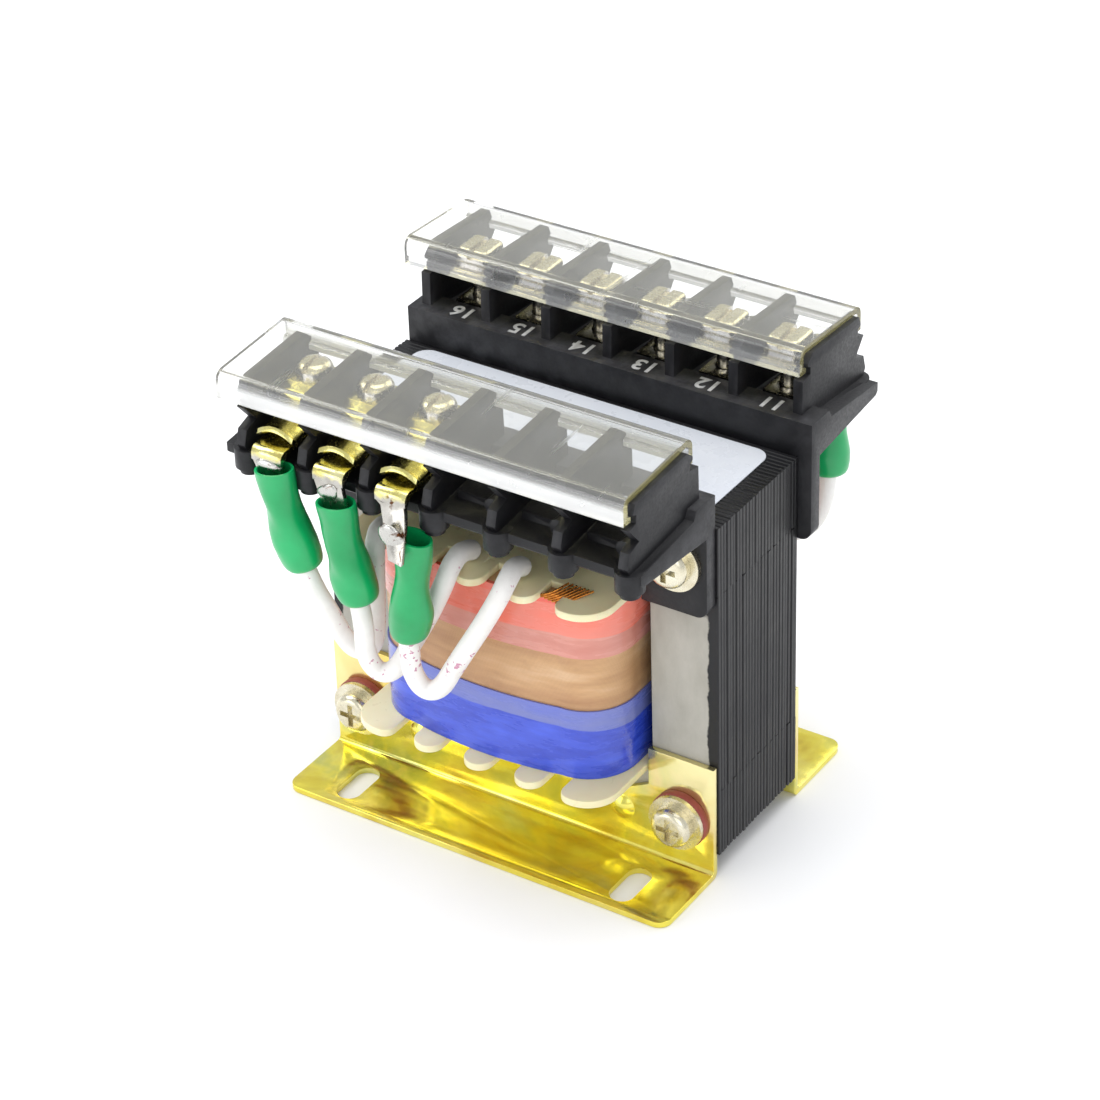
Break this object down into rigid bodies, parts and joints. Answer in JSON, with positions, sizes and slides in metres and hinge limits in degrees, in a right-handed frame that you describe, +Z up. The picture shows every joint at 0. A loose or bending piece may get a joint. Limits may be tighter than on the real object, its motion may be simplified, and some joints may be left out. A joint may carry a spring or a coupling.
{
  "type": "step-down transformer",
  "caption": "Open-frame control transformer: laminated core on slotted foot brackets, taped coil, terminal blocks under clear covers on both sides.",
  "frame": {"origin": "centre of the pattern of mounting slots, on the underside of the feet", "axes": "+X to the front, the side with the visible lead-out wires; +Y to the right seen from the front; +Z up"},
  "size_m": [0.0874, 0.0898, 0.0942],
  "materials": {
    "black_paint": "gloss black varnish over steel laminations",
    "yellow_zinc": "yellow passivated zinc on steel sheet",
    "zinc": "bright zinc plate",
    "nickel": "nickel plate",
    "yellow_contact": "yellow passivated contact metal",
    "red_fibre": "red vulcanised fibre",
    "cream_plastic": "cream moulded nylon",
    "copper_wire": "enamelled copper wire",
    "insulation_paper": "electrical paper",
    "red_tape": "red polyester tape",
    "blue_tape": "blue polyester tape",
    "dark_moulding": "dark grey thermoset moulding",
    "clear_acrylic": "clear acrylic",
    "label_film": "satin label film",
    "green_sleeve": "green soft sleeve",
    "white_sleeving": "white woven sleeving"
  },
  "bodies": {
    "root": {"back_bracket": "yellow_zinc", "back_contacts": "yellow_contact", "back_cover": "clear_acrylic", "back_saddle_clamps": "yellow_contact", "back_terminal_block": "dark_moulding", "back_terminal_nuts": "zinc", "back_terminal_screws": "nickel", "blue_tape_band": "blue_tape", "coil_bobbin": "cream_plastic", "e_laminations": "black_paint", "fibre_washers": "red_fibre", "front_bracket": "yellow_zinc", "front_contacts": "yellow_contact", "front_cover": "clear_acrylic", "front_saddle_clamps": "yellow_contact", "front_terminal_block": "dark_moulding", "front_terminal_nuts": "zinc", "front_terminal_screws": "nickel", "green_sleeve_1": "green_sleeve", "green_sleeve_2": "green_sleeve", "green_sleeve_3": "green_sleeve", "green_sleeve_4": "green_sleeve", "green_sleeve_5": "green_sleeve", "i_laminations": "black_paint", "inner_winding": "copper_wire", "lead_wire_1": "white_sleeving", "lead_wire_2": "white_sleeving", "lead_wire_3": "white_sleeving", "lead_wire_4": "white_sleeving", "lead_wire_5": "white_sleeving", "lower_back_washers": "zinc", "lower_core_bolts": "zinc", "lower_nuts": "zinc", "lower_washers": "zinc", "outer_winding": "copper_wire", "rating_label": "label_film", "red_tape_band": "red_tape", "red_tape_end_turn": "red_tape", "upper_back_washers": "zinc", "upper_core_bolts": "zinc", "upper_nuts": "zinc", "upper_washers": "zinc", "winding_insulation": "insulation_paper"}
  },
  "joints": []
}
